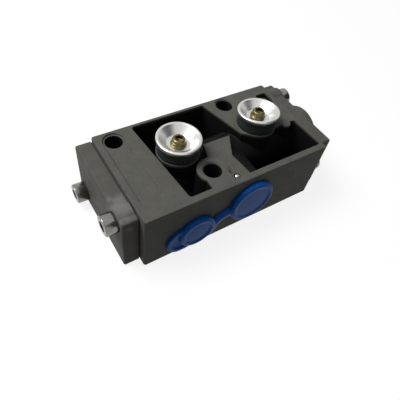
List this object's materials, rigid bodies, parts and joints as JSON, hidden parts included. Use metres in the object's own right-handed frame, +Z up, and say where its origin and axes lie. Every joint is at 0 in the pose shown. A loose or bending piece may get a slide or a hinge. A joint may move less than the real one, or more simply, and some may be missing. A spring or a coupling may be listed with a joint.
{
  "type": "gearbox shifting valve",
  "caption": "Spool valve block with a cored cast body, bolted end covers, exhaust posts under dished caps and a blue moulded cover on its front ports.",
  "frame": {"origin": "middle of the block's flat underside", "axes": "+X along the spool towards the domed cover, +Z up through the posts, the ported face looks along -Y"},
  "size_m": [0.1324, 0.0592, 0.0447],
  "materials": {
    "cast_body": "dark coated die casting, fine matt grain",
    "cast_cover": "dark coated die casting, fine matt grain",
    "gasket": "matt",
    "zinc_screw": "bright zinc plated",
    "yellow_zinc": "yellow chromated",
    "spun_aluminium": "bright spun",
    "filter_felt": "dense porous sleeve",
    "seal_rubber": "satin",
    "blue_plastic": "soft moulded",
    "black_plastic": "moulded",
    "turned_spool": "ground and anodised",
    "spring_wire": "drawn wire",
    "bearing_steel": "polished"
  },
  "bodies": {
    "housing": {"valve_body": "cast_body", "gallery_ball": "bearing_steel", "port_cover": "blue_plastic", "left_end_cover": "cast_cover", "right_end_cover": "cast_cover", "left_cover_gasket": "gasket", "right_cover_gasket": "gasket", "left_cover_screws": "zinc_screw", "right_cover_screws": "zinc_screw", "left_retaining_ring": "spring_wire", "right_retaining_ring": "spring_wire", "left_dished_cap": "spun_aluminium", "right_dished_cap": "spun_aluminium", "left_exhaust_filter": "filter_felt", "right_exhaust_filter": "filter_felt", "left_filter_seal": "seal_rubber", "right_filter_seal": "seal_rubber", "left_torx_screw": "yellow_zinc", "right_torx_screw": "yellow_zinc", "port_cages": "black_plastic", "spool_seals": "seal_rubber", "return_spring": "spring_wire"},
    "spool_train": {"spool": "turned_spool", "pilot_piston": "black_plastic", "pilot_piston_seal": "seal_rubber", "spring_seat": "black_plastic"}
  },
  "joints": [
    {"name": "spool_slide", "type": "slide", "parent": "housing", "child": "spool_train", "axis": [1, 0, 0], "range_m": [0, 0.006], "stiffness_N_per_m": 1500, "springref_m": -0.004, "deforming": ["return_spring"]}
  ]
}
